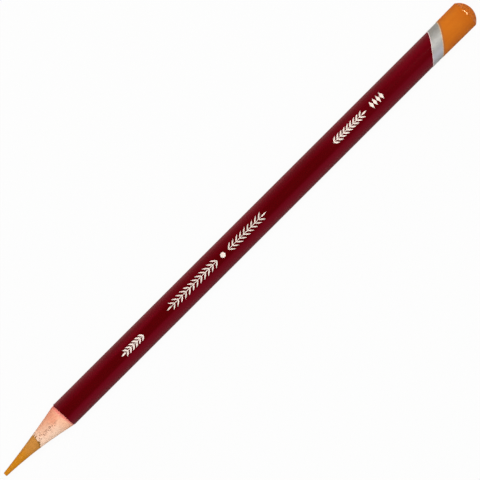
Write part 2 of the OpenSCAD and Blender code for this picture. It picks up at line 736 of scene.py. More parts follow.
@dataclass(frozen=True)
class Grind:
    """The hollow that the wheel leaves: an arc turned about an axis that leans a little."""

    sizes: Sizes
    tip_r: float = 0.575
    length: float = 22.65
    hollow_r: float = 170.0
    lean: float = 0.8
    crossing: float = 17.5
    bow: float = 0.16
    bow_share: float = 0.94
    # A radius on the point to start from, and steps enough to settle on the surface
    first_guess: float = 2.5
    steps: int = 10

    @property
    def _tilt(self) -> tuple[float, float]:
        """Cosine and sine of the lean."""
        tilt = math.radians(self.lean)
        return math.cos(tilt), math.sin(tilt)

    @property
    def _arc_centre(self) -> tuple[float, float]:
        """Distance from the axis, and behind the tip, of the arc's centre."""
        low, high = np.array([self.tip_r, 0.0]), np.array([self.sizes.barrel_r, self.length])
        chord = high - low
        span = float(np.hypot(*chord))
        rise = math.sqrt(self.hollow_r**2 - (span / 2) ** 2)
        centre = (low + high) / 2 + np.array([chord[1], -chord[0]]) / span * rise
        return float(centre[0]), float(centre[1])

    def radius_at(self, behind: np.ndarray) -> np.ndarray:
        """Radius of the ground surface at distances behind the tip."""
        out, back = self._arc_centre
        return out - np.sqrt(self.hollow_r**2 - (behind - back) ** 2)

    def behind_at(self, r: float | np.ndarray) -> float | np.ndarray:
        """Distances behind the tip at which the ground surface has a radius."""
        out, back = self._arc_centre
        return back + np.sqrt(self.hollow_r**2 - (out - r) ** 2)

    def bow_at(self, x: np.ndarray) -> np.ndarray:
        """How far the point bows towards +Y at places along the pencil."""
        share = (x - self.sizes.tip_x) / (self.length * self.bow_share)
        return self.bow * np.sin(math.pi * np.clip(share, 0, 1))

    def slope_at(self, r: float) -> float:
        """How fast the ground surface rises, at a radius."""
        out, back = self._arc_centre
        return float((self.behind_at(r) - back) / (out - r))

    def swing_at(self, r: float) -> float:
        """How far the lean moves an edge along the pencil on the +Y side, at a radius."""
        tilt = math.tan(math.radians(self.lean))
        return (self.crossing - float(self.behind_at(r))) * tilt / self.slope_at(r)

    def place(
        self, behind: np.ndarray, r: np.ndarray, turns: np.ndarray
    ) -> tuple[np.ndarray, ...]:
        """Puts points of the leaning frame into the pencil's own.

        Args:
            behind: distances behind the tip along the leaning axis.
            r: distances from it.
            turns: places round it, in radians.

        Returns:
            X, Y and Z.
        """
        upright, tipped = self._tilt
        a, b, c = behind - self.crossing, r * np.cos(turns), r * np.sin(turns)
        x = self.sizes.tip_x + self.crossing + a * upright - b * tipped
        return x, a * tipped + b * upright, c

    def leaning(
        self, x: np.ndarray, r: float | np.ndarray, turns: np.ndarray
    ) -> tuple[np.ndarray, np.ndarray, np.ndarray]:
        """Gives points of the pencil's own frame in the leaning one.

        Args:
            x: places along the pencil.
            r: distances from its axis.
            turns: places round it, in radians.

        Returns:
            Distances behind the tip, and across and up from the leaning axis.
        """
        upright, tipped = self._tilt
        near, y, z = x - self.sizes.tip_x - self.crossing, r * np.cos(turns), r * np.sin(turns)
        return near * upright + y * tipped + self.crossing, y * upright - near * tipped, z

    def x_on(self, r: float, turns: np.ndarray) -> np.ndarray:
        """Where the ground surface cuts a round of radius r about the pencil's axis."""
        upright, tipped = self._tilt
        start = self.sizes.tip_x + self.crossing
        x = np.full_like(turns, start)
        for _ in range(self.steps):
            _, across, up = self.leaning(x, r, turns)
            behind = self.behind_at(np.hypot(across, up))
            x = start + (behind - self.crossing - r * np.cos(turns) * tipped) / upright
        return x

    def r_on(self, x: np.ndarray, turns: np.ndarray) -> np.ndarray:
        """How far from the axis the ground surface stands, at places along and round it."""
        r = np.full(np.broadcast(x, turns).shape, self.first_guess)
        for _ in range(self.steps):
            behind, across, up = self.leaning(x, r, turns)
            r = r + self.radius_at(behind) - np.hypot(across, up)
        return r


@dataclass(frozen=True)
class Split:
    """One deep bite in a broken edge."""

    turn: float
    width: float
    depth: float

    def bite(self, turns: np.ndarray) -> np.ndarray:
        """How far it bites the edge back, round the pencil."""
        off = np.abs((np.degrees(turns) - self.turn + 180) % 360 - 180) / (self.width / 2)
        # Under 1, so that it is blunt at its bottom
        return self.depth * np.clip(1 - off, 0, 1) ** 0.4


@dataclass(frozen=True)
class BrokenEdge:
    """The wood's chipped front edge, where the wheel broke it back from the core."""

    corners: int = 38
    least: float = 0.06
    depth: float = 0.12
    finer: int = 4
    fine_depth: float = 0.07
    seed: int = 11
    splits: tuple[Split, ...] = (
        Split(turn=10.0, width=26.0, depth=0.95),
        Split(turn=42.0, width=12.0, depth=0.75),
        Split(turn=62.5, width=11.0, depth=0.75),
        Split(turn=86.0, width=60.0, depth=0.2),
        Split(turn=108.0, width=24.0, depth=0.45),
        Split(turn=124.0, width=28.0, depth=0.45),
    )
    # On the far side: how many splits, and the reach of their turns, widths and depths
    hidden_splits: int = 8
    hidden_reach: tuple[tuple[float, float], ...] = ((180.0, 360.0), (5.0, 14.0), (0.2, 0.6))

    @staticmethod
    def _corner_line(turns: np.ndarray, corners: int, seed: int) -> np.ndarray:
        """A line of random corners from 0 to 1 that closes on itself."""
        dice = np.random.default_rng(seed)
        heights = dice.uniform(0, 1, corners)
        steps = (np.arange(corners) + dice.uniform(-0.3, 0.3, corners)) * FULL_TURN / corners
        return np.interp(turns, steps, heights, period=FULL_TURN)

    def bites(self, turns: np.ndarray) -> np.ndarray:
        """How far the edge is bitten back along the pencil, round it."""
        total = self.least + self.depth * self._corner_line(turns, self.corners, self.seed)
        fine = self._corner_line(turns, self.corners * self.finer, self.seed + 1)
        total = total + self.fine_depth * fine
        dice = np.random.default_rng(self.seed + 2)
        for split in self.splits:
            total = total + split.bite(turns)
        for _ in range(self.hidden_splits):
            turn, width, depth = (float(dice.uniform(*reach)) for reach in self.hidden_reach)
            total = total + Split(turn, width, depth).bite(turns)
        return total


# ---------------------------------------------------------------- finishes


@dataclass(frozen=True)
class PastelFinish:
    """Soft pastel stick: dry, close-grained, streaked by the wheel, darker where not ground, which
    also stands for shade in the wood's notches, and with painted shade just ahead of the wood's
    edge.
    """

    body: str = "#CC8B42"
    warm: str = "#CC8008"
    streak: str = "#A06C28"
    pale: str = "#D6A05C"
    # Darker unground skin, seen only in the wood's notches, where it also stands for their shade
    skin: str = "#94652A"

    def build(self) -> bpy.types.Material:
        """Makes the material."""
        n = FinishNodes("dry_pastel")
        lumps = n.noise(n.place, 1.1, detail=3.0, roughness=0.6)
        streaks = n.noise(n.stretched(0.35, 5.0, turn=4.0), detail=3.0, roughness=0.65, warp=0.4)
        grains = n.noise(n.place, 16.0, detail=3.0, roughness=0.7)
        specks = n.cells(n.place, 7.0).ease(0.16, 0.05)
        warmth = n.along.ease(-77.5, -82.5) * 0.8 + lumps * 0.2
        behind = n.mark("behind_grind")
        shade_patches = n.noise(n.stretched(0.7, 1.6), detail=3.0, roughness=0.6).ease(0.35, 0.7)
        shade = n.paint(
            self.body,
            (warmth, self.warm),
            (streaks.ease(0.5, 0.72) * 0.6, self.streak),
            (lumps.ease(0.55, 0.75) * 0.45, self.pale),
            (specks * 0.5, self.streak),
            # Painted shade: the ground face darkens in patches just ahead of the wood's broken
            # edge, where the step would shade it
            (behind.ease(-1.4, 0.1) * shade_patches * 0.55, self.streak),
            # The unground skin: its own darker colour, and painted shade in the notches where it
            # shows
            (behind.ease(0.0, 0.3), self.skin),
        )
        return n.surface(
            Base_Color=shade,
            Roughness=0.82 + grains * 0.16,
            Specular_IOR_Level=0.08,
            Normal=n.bump(grains * 0.55 + streaks * 0.45, depth=0.03),
        )


@dataclass(frozen=True)
class WoodFinish:
    """Ground casing wood: salmon to cream, fine-grained, with pores and a stained edge."""

    name: str
    salmon: str
    cream: str
    red: str = "#F08E6E"
    gold: str = "#FFBF9A"
    bare: str = "#FFD9BC"
    pore: str = "#85594A"
    blush: str = "#F59C88"
    stain: str = "#E87A70"
    dust: str = "#B9915A"

    def build(self) -> bpy.types.Material:
        """Makes the material."""
        n = FinishNodes(self.name)
        behind_core, ahead = n.mark("behind_core"), n.mark("ahead_of_lacquer")
        grain = n.noise(n.stretched(0.22, 3.2), detail=4.0, roughness=0.6, warp=0.5)
        fibres = n.noise(n.stretched(0.7, 17.0), roughness=0.6)
        patches = n.noise(n.stretched(0.35, 0.6))
        bared = behind_core.ease(2.6, 0.3)
        tone = (n.across * 0.2 + 0.42 + (patches - 0.5) * 1.1 - bared * 0.3).ease(0.0, 1.0)
        near_coat = ahead.ease(4.4, 0.4)
        pores = n.cells(n.stretched(0.9, 3.4, turn=9.0)).ease(0.4, 0.16)
        pores = pores * n.noise(n.place, 1.3, detail=1.0).ease(0.4, 0.58)
        # The glue line wanders, and shows only between the two broken edges
        glue = abs(n.across - 0.15 + (n.noise(n.place, 0.8) - 0.5) * 1.6).ease(0.6, 0.3)
        glue = glue * ahead.ease(1.2, 2.2) * behind_core.ease(0.1, 0.5)
        flecks = n.cells(n.stretched(0.95, 2.0, turn=24.0), 1.7).ease(0.5, 0.26) * glue
        dust = behind_core.ease(0.8, 0.0) * n.noise(n.place, 2.6, detail=3.0).ease(0.35, 0.75)
        ragged = n.noise(n.stretched(0.6, 2.6), roughness=0.6)
        from_edge = ahead + (ragged - 0.5) * 0.7
        shade = n.paint(
            self.cream,
            (tone, self.salmon),
            (near_coat * tone * 0.85, self.red),
            (near_coat * (1.0 - tone) * 0.85, self.gold),
            (bared * 0.5, self.bare),
            (grain.ease(0.5, 0.72) * 0.2, self.pore),
            (fibres.ease(0.52, 0.72) * 0.18, self.bare),
            ((pores * 0.34).most(flecks * 0.78), self.pore),
            (dust * 0.35, self.dust),
            (from_edge.ease(0.45, 0.08) * 0.5, self.blush),
            (from_edge.ease(0.08, -0.22) * 0.75, self.stain),
        )
        height = fibres * 0.6 + grain * 0.4 - flecks * 0.5 - pores * 0.3
        return n.surface(
            Base_Color=shade,
            Roughness=0.62 + fibres * 0.2,
            Specular_IOR_Level=0.1,
            Normal=n.bump(height, depth=0.035),
        )


@dataclass(frozen=True)
class LacquerFinish:
    """Deep satin lacquer under a light coat of gloss, with painted light: a darker band along its
    top as painted shade, a purplish tone on its -Y side and a paler band high on its +Y side as
    painted reflections.
    """

    deep: str = "#5F010B"
    flush: str = "#6B0413"
    # Painted highlight high on the +Y side
    flank_sheen: str = "#8E383C"
    # Painted shade of the band along the top
    core: str = "#520002"
    # Painted reflection on the -Y side
    plum_reflection: str = "#6C0A1B"
    scuff: str = "#8A4A4C"

    def build(self) -> bpy.types.Material:
        """Makes the material."""
        n = FinishNodes("maroon_lacquer")
        clouds = n.noise(n.stretched(0.05, 0.35))
        skin = n.noise(n.stretched(0.5, 0.9), detail=1.0)
        fine = n.noise(n.place, 9.0)
        scuffs = n.noise(n.stretched(0.25, 9.0, turn=7.0), roughness=0.6, warp=0.3).ease(0.7, 0.8)
        scuffs = scuffs * n.noise(n.place, 0.35).ease(0.5, 0.7)
        # Painted shade: a darker band along the top, stronger towards the point, for the dark
        # reflection overhead
        top = n.across.within(-1.5, -0.8, 0.9, 1.9) * (0.4 + n.along.ease(46.0, 26.0) * 0.45)
        # Painted highlight: a paler band high on the +Y side
        flank_sheen = n.across.ease(2.9, 3.7) * n.up.ease(-0.8, 1.4)
        shade = n.paint(
            self.deep,
            (clouds.ease(0.35, 0.7), self.flush),
            (top, self.core),
            # Painted reflection: a purplish tone on the -Y side
            (n.across.ease(-1.1, -1.8) * 0.7, self.plum_reflection),
            (flank_sheen * 0.55, self.flank_sheen),
            (scuffs * 0.18, self.scuff),
        )
        return n.surface(
            Base_Color=shade,
            Roughness=0.5,
            Specular_IOR_Level=0.0,
            Coat_Weight=0.26 - scuffs * 0.1,
            Coat_Roughness=0.1,
            Normal=n.bump(fine * 0.12, depth=0.01, under=n.bump(skin, depth=0.012)),
        )


@dataclass(frozen=True)
class SilverFinish:
    """Aluminium-flake paint with painted light: a painted highlight along its slanting front line,
    painted shade on its +Y side and a paler, bluer painted reflection on its -Y side, and stained
    by the dip's, which also stands for a painted highlight there.
    """

    sizes: Sizes
    body: str = "#A5A8A9"
    shadow: str = "#9B9D9E"
    plus_y_shade: str = "#8C8A86"
    minus_y_sheen: str = "#DBDDED"
    line: str = "#F0D4D2"
    stained: str = "#DDB886"

    def build(self) -> bpy.types.Material:
        """Makes the material."""
        n, s = FinishNodes("silver_paint"), self.sizes
        twice = math.radians(s.band_sag_turn) * 2
        lobes = (n.across * n.across - n.up * n.up) * math.cos(twice)
        lobes = lobes + n.across * n.up * (2 * math.sin(twice))
        sag = s.band_sag * (1.0 + lobes / s.barrel_r**2)
        past_front = n.beyond_line(s, s.band_edge) - sag
        past_dip = n.beyond_line(s, s.dip_edge)
        # Painted highlight: a pale line along the band's front edge and a fainter one by the dip's
        # edge
        edge_glints = past_front.ease(0.26, 0.1).most(past_dip.ease(-0.2, -0.05) * 0.35)
        flakes = n.cells(n.place, 15.0)
        clouds = n.noise(n.stretched(0.9, 0.9), detail=3.0)
        shade = n.paint(
            self.body,
            (clouds.ease(0.3, 0.7), self.shadow),
            # Painted shade: darker towards the +Y side
            (n.across.ease(1.3, 3.1) * 0.7, self.plus_y_shade),
            # Painted reflection: paler and bluer on the -Y side
            (n.across.within(-3.9, -2.2, -2.6, -0.6) * 0.5, self.minus_y_sheen),
            (edge_glints * 0.85, self.line),
            # A dip-coloured stain next to the dip's edge, partly a painted highlight there
            (past_dip.ease(-0.36, -0.06) * 0.6, self.stained),
        )
        return n.surface(
            Base_Color=shade,
            Metallic=0.4 - edge_glints * 0.36,
            Roughness=0.5 + flakes * 0.14,
            Specular_IOR_Level=0.5,
            Normal=n.bump(flakes, depth=0.006),
        )


@dataclass(frozen=True)
class DipFinish:
    """Dipped paint in the core's colour, thinnest at its edge, fuller and glossier at the bead,
    with a painted highlight along its edge and painted shadow just behind it.
    """

    sizes: Sizes
    body: str = "#C86A1C"
    light: str = "#CE711D"
    full: str = "#C46417"
    edge: str = "#DCAE72"
    edge_shadow: str = "#AC6A3C"

    def build(self) -> bpy.types.Material:
        """Makes the material."""
        n = FinishNodes("ochre_dip")
        from_edge = n.beyond_line(self.sizes, self.sizes.dip_edge)
        clouds = n.noise(n.stretched(0.18, 0.5))
        fine = n.noise(n.place, 8.0)
        skin = n.noise(n.stretched(0.6, 0.8), detail=1.0)
        bead = n.along.within(86.2, 86.4, 86.9, 87.1)
        shade = n.paint(
            self.body,
            (clouds.ease(0.3, 0.75), self.light),
            (n.along.ease(83.0, 86.6) * 0.8, self.full),
            # Painted shadow: a darker, duller zone just behind the dip's edge
            (from_edge.ease(0.85, 0.25) * 0.7, self.edge_shadow),
            # Painted highlight: a pale line right along the dip's edge
            (from_edge.ease(0.16, 0.03) * 0.7, self.edge),
        )
        return n.surface(
            Base_Color=shade,
            Roughness=0.16 + clouds * 0.06,
            Specular_IOR_Level=0.0,
            Coat_Weight=0.12 + bead * 0.28,
            Coat_Roughness=0.06,
            Normal=n.bump(fine * 0.1, depth=0.01, under=n.bump(skin, depth=0.014)),
        )


@dataclass(frozen=True)
class FoilFinish:
    """Pale hot-stamped foil, a little broken up where it did not take."""

    body: str = "#EFE0D6"
    grey: str = "#B9B5A2"
    under: str = "#8A2A34"

    def build(self) -> bpy.types.Material:
        """Makes the material."""
        n = FinishNodes("stamped_foil")
        lumps = n.noise(n.place, 2.4)
        fine = n.noise(n.place, 11.0, detail=3.0, roughness=0.65)
        shade = n.paint(
            self.body,
            (lumps.ease(0.45, 0.75) * 0.6, self.grey),
            (fine.ease(0.62, 0.78) * 0.6, self.under),
        )
        return n.surface(
            Base_Color=shade,
            Metallic=0.15,
            Roughness=0.4 + fine * 0.2,
            Specular_IOR_Level=0.5,
            Normal=n.bump(fine, depth=0.006),
        )


@dataclass(frozen=True)
class FloorFinish:
    """A plain white table that shows white and keeps a soft shadow."""

    paper: str = "#D2D2D0"
    speck: str = "#D9D9D8"
    white_share: float = 0.94
    mirrored_share: float = 0.1

    def build(self) -> bpy.types.Material:
        """Makes the material."""
        n = FinishNodes("white_table")
        tooth = n.noise(n.place, 1.2, detail=3.0)
        inputs = {
            "Base Color": n.paint(self.paper, (tooth, self.speck)),
            "Roughness": 0.85,
            "Normal": n.bump(tooth, depth=0.02),
        }
        table = n.add("ShaderNodeBsdfPrincipled", inputs=inputs)
        inputs = {"Color": (1.0, 1.0, 1.0, 1.0), "Strength": 1.0}
        white = n.add("ShaderNodeEmission", inputs=inputs)
        camera = n.add("ShaderNodeLightPath", output="Is Camera Ray")
        mirrored = camera.other("Is Glossy Ray").most(camera.other("Is Transmission Ray"))
        share = (camera * self.white_share).most(mirrored * self.mirrored_share)
        both = n.add("ShaderNodeMixShader", inputs={0: share, 1: table, 2: white})
        n.add("ShaderNodeOutputMaterial", inputs={"Surface": both})
        return n.material


# ---------------------------------------------------------------- sub-assemblies


@dataclass(frozen=True)
class PastelCore:
    """The pastel rod with its ground point and blunt, slightly crumbled tip."""

    sizes: Sizes
    grind: Grind
    # Rings: shares of the tip's radius, distances past the grind, places along, radii at the end
    tip_rings: tuple[float, ...] = (0.0, 0.2, 0.4, 0.6, 0.75, 0.88, 0.96, 1.0)
    point_rings: int = 90
    skin_rings: tuple[float, ...] = (0.06, 0.15, 0.3, 0.5, 0.8, 1.2, 3.0)
    rod_rings: tuple[float, ...] = (-71.5, -70.2, -69.0)
    even_start: float = -68.0
    even_rings: int = 16
    end_rings: tuple[float, ...] = (1.5, 1.0, 0.5, 0.0)
    point_start: float = 0.06
    # The tip's corner, how far its middle is set back, and how deep it is crumbled
    tip_corner: float = 0.03
    tip_inset: float = 0.004
    crumble: float = 0.035
    # A distance past the grind that stands for the tip, well before it
    tip_mark: float = -9.0
    # Depth of the ground surface's unevenness, and how fast it fades out at the rod
    unevenness: float = 0.012
    fade_rate: float = 12.0

    def build(self) -> bpy.types.Object:
        """Makes the piece."""
        s, g = self.sizes, self.grind
        skin = Skin("pastel_core_point", bow=g.bow_at)
        turns = np.linspace(0, FULL_TURN, COLUMNS, endpoint=False)
        self._add_tip(skin, turns)
        end_x = g.x_on(s.core_r, turns)
        end_behind, across, up = g.leaning(end_x, s.core_r, turns)
        end_turns = np.unwrap(np.arctan2(up, across))
        for share in np.linspace(0, 1, self.point_rings)[1:]:
            behind = self.point_start + (end_behind - self.point_start) * share
            around = turns + (end_turns - turns) * share
            worn = self.unevenness * min(1.0, (1 - share) * self.fade_rate)
            r = g.radius_at(behind) - worn * (1 + ripple(behind * 2, around, seed=5, finest=30))
            skin.ring(*g.place(behind, r, around), behind_grind=behind - end_behind)
        for past in self.skin_rings:
            skin.round_ring(end_x + past, s.core_r, turns, behind_grind=past)
        far = self.skin_rings[-1]
        even = np.linspace(self.even_start, s.blank_dome_x(s.core_r), self.even_rings)
        for x in (*self.rod_rings, *even):
            skin.round_ring(x, s.core_r, turns, behind_grind=far)
        for r in self.end_rings:
            skin.round_ring(s.blank_dome_x(r), r, turns, behind_grind=far)
        return settle(skin.build(PastelFinish().build()), Slot.PASTEL, Node.CORE)

    def _add_tip(self, skin: Skin, turns: np.ndarray) -> None:
        """Adds the rings of the blunt tip, whose corner is rounded and a little crumbled."""
        for share in self.tip_rings:
            worn = np.abs(share * ripple(share * 6, turns, seed=3, finest=9))
            corner = self.tip_corner * share**8
            behind = self.tip_inset + self.crumble * (0.3 * share + 0.35 * worn) + corner
            r = self.grind.tip_r * share * (1 - corner - 0.02 * worn)
            skin.ring(*self.grind.place(behind, r, turns), behind_grind=self.tip_mark)


@dataclass(frozen=True)
class Slat:
    """One slat: its names, the middle of its side in degrees, and its two tones."""

    name: str
    node: Node
    middle: float
    salmon: str
    cream: str


@dataclass(frozen=True)
class WoodCasing:
    """The two glued slats, with the chipped edge that the wheel left round the core."""

    sizes: Sizes
    grind: Grind
    edge: BrokenEdge
    slats: tuple[Slat, ...] = (
        # The -Y slat's tones are lighter: partly the wood's own colour, partly painted light
        # standing for more light on that side
        Slat("wood_slat_plus_y", Node.SLAT_LEFT, 0.0, "#F0AB88", "#EEC5A8"),
        Slat("wood_slat_minus_y", Node.SLAT_RIGHT, 180.0, "#FFBA98", "#FFD6BA"),
    )
    # Rings on the ground wood, which crowd towards the core, under the coat, at the end and in
    # the groove, which they follow back to the point
    ground_rings: int = 44
    crowding: float = 1.3
    coat_rings: tuple[float, ...] = (0.15, 0.35, 0.7, 1.5)
    even_start: float = -62.0
    even_rings: int = 14
    end_rings: tuple[float, ...] = (3.2, 2.6)
    even_groove: tuple[float, float, int] = (80.0, -60.0, 11)
    groove_rings: tuple[float, ...] = (-66.5, -68.0, -69.2, -70.5, -72.0)
    # Width of the splintered lip, how far it hangs, and how it sinks at its brink
    lip: float = 0.03
    lip_reach: float = 0.01
    lip_drop: float = 0.004

    def build(self) -> list[bpy.types.Object]:
        """Makes the two slats.

        Returns:
            The slats, left first.
        """
        return [self._build_slat(slat) for slat in self.slats]

    def _build_slat(self, slat: Slat) -> bpy.types.Object:
        """Makes one slat.

        Args:
            slat: which one.

        Returns:
            The piece.
        """
        s, g = self.sizes, self.grind
        half_turn = np.linspace(-math.pi / 2, math.pi / 2, COLUMNS // 2 + 1)
        turns = math.radians(slat.middle) + half_turn
        bitten = g.x_on(s.core_r, turns) + self.edge.bites(turns)
        leaves = g.x_on(s.wood_r, turns)
        top = g.r_on(bitten, turns)
        skin = Skin(slat.name, whole_turn=False, loops_back=True, bow=g.bow_at)

        def ring(x: float | np.ndarray, r: float | np.ndarray) -> None:
            """Adds a ring with its distances from the two edges."""
            x = x + 0 * turns
            skin.round_ring(x, r, turns, behind_core=x - bitten, ahead_of_lacquer=leaves - x)

        ring(bitten + self.lip, s.core_r)
        ring(bitten, s.core_r + (top - s.core_r) * 0.5)
        ring(bitten + self.lip_reach, top - self.lip_drop)
        for share in np.linspace(0, 1, self.ground_rings) ** self.crowding:
            x = bitten + self.lip + (leaves - bitten - self.lip) * share
            ring(x, g.r_on(x, turns) if share < 1 else s.wood_r)
        for more in self.coat_rings:
            ring(leaves + more, s.wood_r)
        for x in np.linspace(self.even_start, s.blank_dome_x(s.wood_r), self.even_rings):
            ring(x, s.wood_r)
        for r in (*self.end_rings, s.core_r):
            ring(s.blank_dome_x(r), r)
        for x in (*np.linspace(*self.even_groove), *self.groove_rings):
            ring(x, s.core_r)
        finish = WoodFinish(slat.name + "_wood", slat.salmon, slat.cream).build()
        return settle(skin.build(finish), Slot.WOOD, slat.node)


class TurnedCoat(ShapeNodes):
    """Turns a coat's profile about the pencil, with slanting, leaning, sagging and torn edges.

    The profile is a chain of corners (place along, distance out). At each corner the numbers slant,
    swing, sag and torn say how far the slanting line, the leaning grind, the sag and the tears move
    it along the pencil. Rise and taper say how far it climbs for each millimetre that the tears and
    the rest move it.
    """

    # Finer corners to each coarse one of a random line, their share of its depth, and their seed
    FINER = 4.0
    FINE_SHARE = 0.38
    FINE_SEED = 4.0

    def __init__(self) -> None:
        """Builds the tree."""
        super().__init__("turned_coat")
        columns = self.entry("Columns", "NodeSocketInt")
        rows = self.entry("Rows", "NodeSocketInt")
        slant, slant_turn, waviness, sag, sag_turn, seed = self.entries(
            "Slant", "Slant Turn", "Waviness", "Sag", "Sag Turn", "Seed"
        )
        tear_corners, tear_depth, tear_bias = self.entries(
            "Tear Corners", "Tear Depth", "Tear Bias"
        )
        size = {"Size X": 1.0, "Size Y": 1.0, "Vertices X": rows, "Vertices Y": columns + 1.0}
        grid = self.add("GeometryNodeMeshGrid", inputs=size)
        index = self.add("GeometryNodeInputIndex")
        row = (index / (columns + 1.0)).floor()
        turns = (index % (columns + 1.0)) / columns * FULL_TURN
        place = self.add("GeometryNodeInputPosition")
        along, out, _ = self.split(self._at(row, place, "FLOAT_VECTOR"))
        number = {name: self._number(row, name) for name in Profile.NAMES}
        slanted = slant * out * (turns - slant_turn).cos() + waviness * self._waves(turns, seed)
        torn = tear_depth * self._tears(turns, tear_corners, seed) * (1.0 + tear_bias * turns.cos())
        torn = number["torn"] * torn
        moved = number["slant"] * slanted + number["swing"] * turns.cos()
        moved = moved + number["sag"] * sag * (1.0 + ((turns - sag_turn) * 2.0).cos())
        out = out + number["rise"] * torn + number["taper"] * moved
        spot = self.vector(along + moved + torn, out * turns.cos(), out * turns.sin())
        merge = {"Geometry": self.moved(grid, spot), "Distance": WELD_GAP}
        self.close(self.add("GeometryNodeMergeByDistance", inputs=merge))

    def _at(self, row: Wire, value: Wire, kind: str) -> Wire:
        """Reads a value of the profile at a row."""
        settings = {"data_type": kind, "domain": "POINT", "clamp": True}
        inputs = {"Geometry": self.base, "Value": value, "Index": row}
        return self.add("GeometryNodeSampleIndex", settings, inputs)

    def _number(self, row: Wire, name: str) -> Wire:
        """Reads one of the profile's own numbers at a row."""
        kind = "GeometryNodeInputNamedAttribute"
        value = self.add(kind, {"data_type": "FLOAT"}, {"Name": name}, "Attribute")
        return self._at(row, value, "FLOAT")

    def _dice(self, corner: Wire, seed: Wire) -> Wire:
        """A random share for a numbered corner."""
        inputs = {"Vector": self.vector(corner, seed, 0.5)}
        settings = {"noise_dimensions": "3D"}
        return self.add("ShaderNodeTexWhiteNoise", settings, inputs, "Value")

    def _corner_line(self, turns: Wire, count: Wire, seed: Wire) -> Wire:
        """A line of count random corners from 0 to 1 that closes on itself."""
        step = turns / FULL_TURN * count
        first = step.floor()
        low = self._dice(first % count, seed)
        high = self._dice((first + 1.0) % count, seed)
        return low + (high - low) * (step - first)

    def _tears(self, turns: Wire, corners: Wire, seed: Wire) -> Wire:
        """A ragged line of random corners round the pencil, with finer ones on it."""
        coarse = self._corner_line(turns, corners, seed + 1.0)
        fine = self._corner_line(turns, corners * self.FINER, seed + self.FINE_SEED)
        return coarse * (1.0 - self.FINE_SHARE) + fine * self.FINE_SHARE

    @staticmethod
    def _waves(turns: Wire, seed: Wire) -> Wire:
        """A slow wave that closes on itself."""
        return ((turns * 3.0 + seed).cos() + (turns * 7.0 + seed * 2.0).cos() * 0.5) / 1.5

    def turn(
        self, name: str, profile: "Profile", finish: bpy.types.Material, **values: float
    ) -> bpy.types.Object:
        """Turns one coat.

        Args:
            name: the piece's name.
            profile: its section.
            finish: its material.
            values: the tree's other inputs, with _ for the spaces in their names.

        Returns:
            The piece.
        """
        inputs = {"Columns": COLUMNS, "Rows": len(profile.corners), "Finish": finish}
        inputs.update({key.replace("_", " "): value for key, value in values.items()})
        return self.grow(name, profile.mesh(name), inputs)


@dataclass
class Profile:
    """A coat's section: corners along and out from the axis, each with its own numbers."""

    corners: list[tuple[float, float]] = field(default_factory=list)
    numbers: dict[str, list[float]] = field(default_factory=dict)

    NAMES = ("slant", "swing", "sag", "torn", "rise", "taper")

    def corner(self, x: float, r: float, **numbers: float) -> None:
        """Adds a corner.

        Args:
            x: its place along the pencil.
            r: its distance from the axis.
            numbers: how it moves with the edges; those left out are 0.
        """
        self.corners.append((float(x), float(r)))
        for name in self.NAMES:
            self.numbers.setdefault(name, []).append(numbers.get(name, 0.0))

    def mesh(self, name: str) -> bpy.types.Mesh:
        """The profile as a chain of edges, in metres."""
        mesh = bpy.data.meshes.new(name + "_profile")
        chain = [(i, i + 1) for i in range(len(self.corners) - 1)]
        mesh.from_pydata([(x * MM, r * MM, 0.0) for x, r in self.corners], chain, [])
        for key, values in self.numbers.items():
            # Swing is a length; the others are shares
            scaled = [v * MM for v in values] if key == "swing" else values
            mesh.attributes.new(key, "FLOAT", "POINT").data.foreach_set("value", scaled)
        return mesh


@dataclass(frozen=True)
class Barrel:
    """The barrel's lacquer film, ground to a feather edge and torn."""

    sizes: Sizes
    grind: Grind
    coats: TurnedCoat
    tear_corners: float = 56.0
    tear_depth: float = 0.6
    tear_bias: float = 0.9
    tear_seed: float = 22.0
    feather_t: float = 0.08
    # How far the feather edge is rounded back, the share of its thickness that stands foremost,
    # and how far the shoulder is sunk
    rounding: float = 0.02
    foremost: float = 0.4
    sink: float = 0.002
    # Rings behind the shoulder: the first two, where the even ones start, how many stand outside
    # and inside, and how far from the end those inside start
    shoulder_rings: tuple[float, float] = (0.05, 0.2)
    even_start: float = 2.0
    outer_rings: int = 20
    inner_rings: int = 6
    inner_gap: float = 4.0

    def build(self) -> bpy.types.Object:
        """Makes the piece."""
        s, g = self.sizes, self.grind
        feather_r = s.wood_r + self.feather_t
        slope = g.slope_at(feather_r)
        near_swing, far_swing = g.swing_at(feather_r), g.swing_at(s.barrel_r)
        front = s.tip_x + float(g.behind_at(feather_r))
        shoulder = s.tip_x + float(g.behind_at(s.barrel_r))
        back = front + self.rounding
        torn = {"torn": 1.0, "swing": near_swing}
        section = Profile()
        section.corner(back, s.wood_r, **torn)
        foremost_r = s.wood_r + self.feather_t * self.foremost
        section.corner(front, foremost_r, rise=slope * self.foremost, **torn)
        section.corner(back, feather_r, rise=slope, **torn)
        for share in (0.5, 1.0):
            section.corner(
                back + (shoulder - back) * share - self.rounding / 2,
                feather_r + (s.barrel_r - self.sink - feather_r) * share,
                torn=1 - share,
                rise=slope * (1 - share),
                swing=near_swing * (1 - share) + far_swing * share,
            )
        for past in self.shoulder_rings:
            section.corner(shoulder + past, s.barrel_r, swing=far_swing)
        even, last = shoulder + self.even_start, s.blank_dome_x(s.barrel_r)
        for x in np.linspace(even, last, self.outer_rings):
            section.corner(x, s.barrel_r)
        section.corner(s.blank_dome_x(s.wood_r), s.wood_r)
        for x in np.linspace(last - self.inner_gap, even, self.inner_rings):
            section.corner(x, s.wood_r)
        section.corner(back, s.wood_r, **torn)
        piece = self.coats.turn(
            "barrel_lacquer_coat",
            section,
            LacquerFinish().build(),
            Tear_Corners=self.tear_corners,
            Tear_Depth=self.tear_depth * MM,
            Tear_Bias=self.tear_bias,
            Seed=self.tear_seed,
        )
        return settle(piece, Slot.LACQUER, Node.LACQUER)


